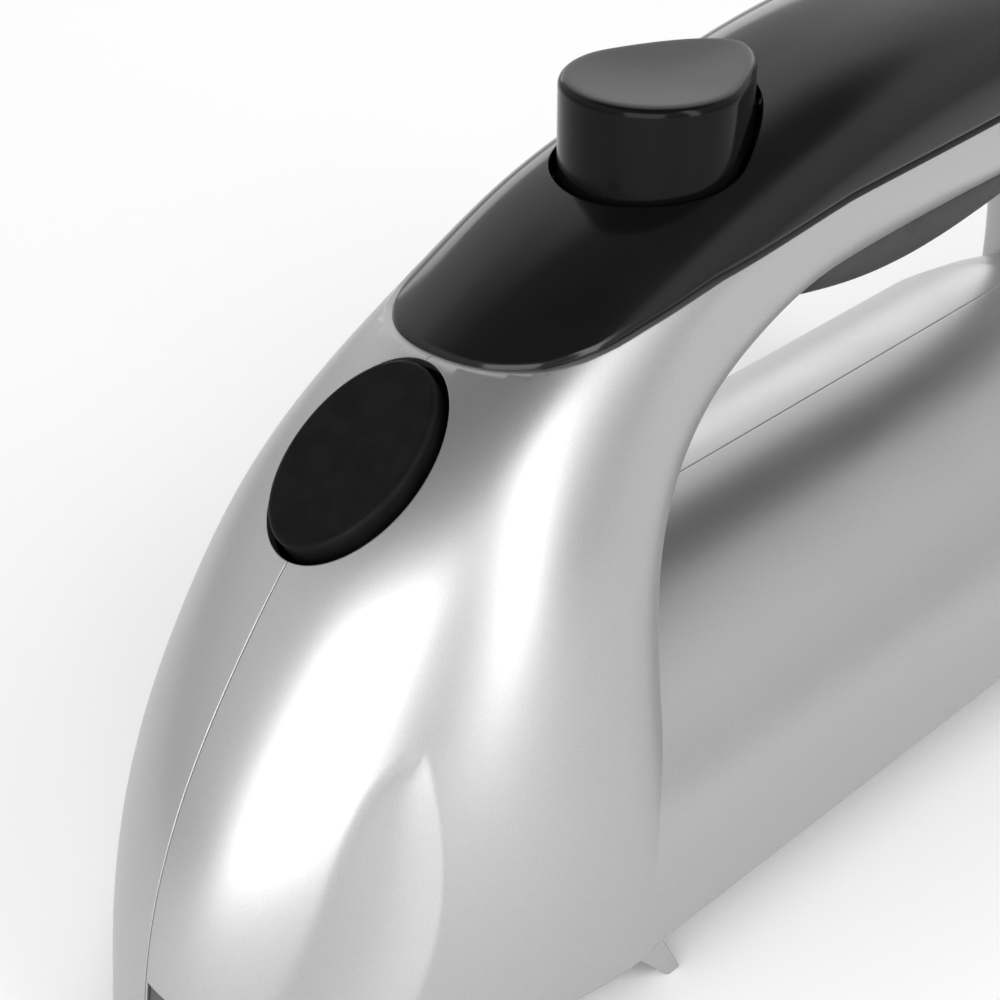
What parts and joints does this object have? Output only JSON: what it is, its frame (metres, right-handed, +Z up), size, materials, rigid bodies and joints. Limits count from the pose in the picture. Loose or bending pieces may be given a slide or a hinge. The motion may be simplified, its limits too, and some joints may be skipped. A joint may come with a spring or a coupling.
{
  "type": "hand mixer",
  "caption": "Corded electric hand mixer with a closed loop handle, thumb and front push buttons, and beater sockets under the nose.",
  "frame": {"origin": "centre of the bounding box in X and Y, on the floor under the lugs and feet", "axes": "+Z up; -Y towards the nose, +Y towards the cord end; +X to the mixer's own left side"},
  "size_m": [0.0766, 0.2434, 0.1253],
  "materials": {
    "left_housing": "satin silver paint on moulded plastic",
    "right_housing": "satin silver paint on moulded plastic",
    "handle_top_cover": "high gloss black",
    "turbo_button": "gloss black wall with a satin dished top",
    "eject_button": "satin black",
    "speed_slider": "satin black",
    "handle_grip_pad": "soft matt black",
    "bottom_cover": "fine matt texture",
    "front_inlay": "matt dark grey",
    "left_rear_foot": "matt black",
    "right_rear_foot": "matt black",
    "cord_bush": "matt black",
    "left_spindle_gear": "natural white nylon",
    "right_spindle_gear": "natural white nylon",
    "cooling_fan": "natural white nylon",
    "ejector_plate": "natural white nylon",
    "housing_screw_1": "zinc plated",
    "housing_screw_2": "zinc plated",
    "housing_screw_3": "zinc plated",
    "housing_screw_4": "zinc plated",
    "armature_shaft": "ground steel",
    "armature_core": "varnished steel laminations",
    "stator_core": "varnished steel laminations",
    "front_winding": "varnished copper",
    "rear_winding": "varnished copper",
    "left_field_coil": "varnished copper",
    "right_field_coil": "varnished copper",
    "commutator": "varnished copper",
    "left_brush_holder": "plain brass",
    "right_brush_holder": "plain brass",
    "front_bearing": "plain brass",
    "rear_bearing": "plain brass",
    "left_brush_carbon": "dull carbon",
    "right_brush_carbon": "dull carbon",
    "front_bracket": "dark moulded plastic",
    "rear_bracket": "dark moulded plastic",
    "gearbox_frame": "dark moulded plastic",
    "gearbox_cap": "dark moulded plastic",
    "turbo_switch": "dark moulded plastic",
    "speed_switch": "dark moulded plastic",
    "cord_clamp": "dark moulded plastic",
    "turbo_spring": "spring steel",
    "eject_spring": "spring steel",
    "speed_board": "green solder mask"
  },
  "bodies": {
    "housing": {"left_housing": "left_housing", "right_housing": "right_housing", "handle_top_cover": "handle_top_cover", "handle_grip_pad": "handle_grip_pad", "bottom_cover": "bottom_cover", "front_inlay": "front_inlay", "left_rear_foot": "left_rear_foot", "right_rear_foot": "right_rear_foot", "cord_bush": "cord_bush", "housing_screw_1": "housing_screw_1", "housing_screw_2": "housing_screw_2", "housing_screw_3": "housing_screw_3", "housing_screw_4": "housing_screw_4", "stator_core": "stator_core", "left_field_coil": "left_field_coil", "right_field_coil": "right_field_coil", "left_brush_holder": "left_brush_holder", "right_brush_holder": "right_brush_holder", "front_bearing": "front_bearing", "rear_bearing": "rear_bearing", "left_brush_carbon": "left_brush_carbon", "right_brush_carbon": "right_brush_carbon", "front_bracket": "front_bracket", "rear_bracket": "rear_bracket", "gearbox_frame": "gearbox_frame", "gearbox_cap": "gearbox_cap", "turbo_switch": "turbo_switch", "speed_switch": "speed_switch", "cord_clamp": "cord_clamp", "turbo_spring": "turbo_spring", "eject_spring": "eject_spring", "speed_board": "speed_board"},
    "rotor": {"armature_shaft": "armature_shaft", "armature_core": "armature_core", "front_winding": "front_winding", "rear_winding": "rear_winding", "commutator": "commutator", "cooling_fan": "cooling_fan"},
    "left_spindle": {"left_spindle_gear": "left_spindle_gear"},
    "right_spindle": {"right_spindle_gear": "right_spindle_gear"},
    "eject_key": {"eject_button": "eject_button"},
    "ejector": {"ejector_plate": "ejector_plate"},
    "turbo_key": {"turbo_button": "turbo_button"},
    "speed_key": {"speed_slider": "speed_slider"}
  },
  "joints": [
    {"name": "motor_spin", "type": "hinge", "parent": "housing", "child": "rotor", "pos_m": [0, 0, 0.0285], "axis": [0, 1, 0], "continuous": true},
    {"name": "left_spindle_spin", "type": "hinge", "parent": "housing", "child": "left_spindle", "pos_m": [0.0179, -0.074, 0], "axis": [0, 0, 1], "continuous": true},
    {"name": "right_spindle_spin", "type": "hinge", "parent": "housing", "child": "right_spindle", "pos_m": [-0.0179, -0.074, 0], "axis": [0, 0, 1], "continuous": true},
    {"name": "eject_press", "type": "slide", "parent": "housing", "child": "eject_key", "axis": [0, 0.5693, -0.8221], "range_m": [0, 0.0025], "stiffness_N_per_m": 1200, "springref_m": -0.001},
    {"name": "ejector_drop", "type": "slide", "parent": "housing", "child": "ejector", "axis": [0, 0, -1], "range_m": [0, 0.003], "deforming": ["eject_spring"]},
    {"name": "turbo_press", "type": "slide", "parent": "housing", "child": "turbo_key", "axis": [0, 0, -1], "range_m": [0, 0.002], "stiffness_N_per_m": 1500, "springref_m": -0.001, "deforming": ["turbo_spring"]},
    {"name": "speed_slide", "type": "slide", "parent": "housing", "child": "speed_key", "axis": [0, 1, 0], "range_m": [0, 0.014]}
  ],
  "couplings": [
    {"joint": "left_spindle_spin", "follows": "motor_spin", "ratio": 0.0625},
    {"joint": "right_spindle_spin", "follows": "motor_spin", "ratio": -0.0625},
    {"joint": "ejector_drop", "follows": "eject_press", "ratio": 1.2}
  ]
}
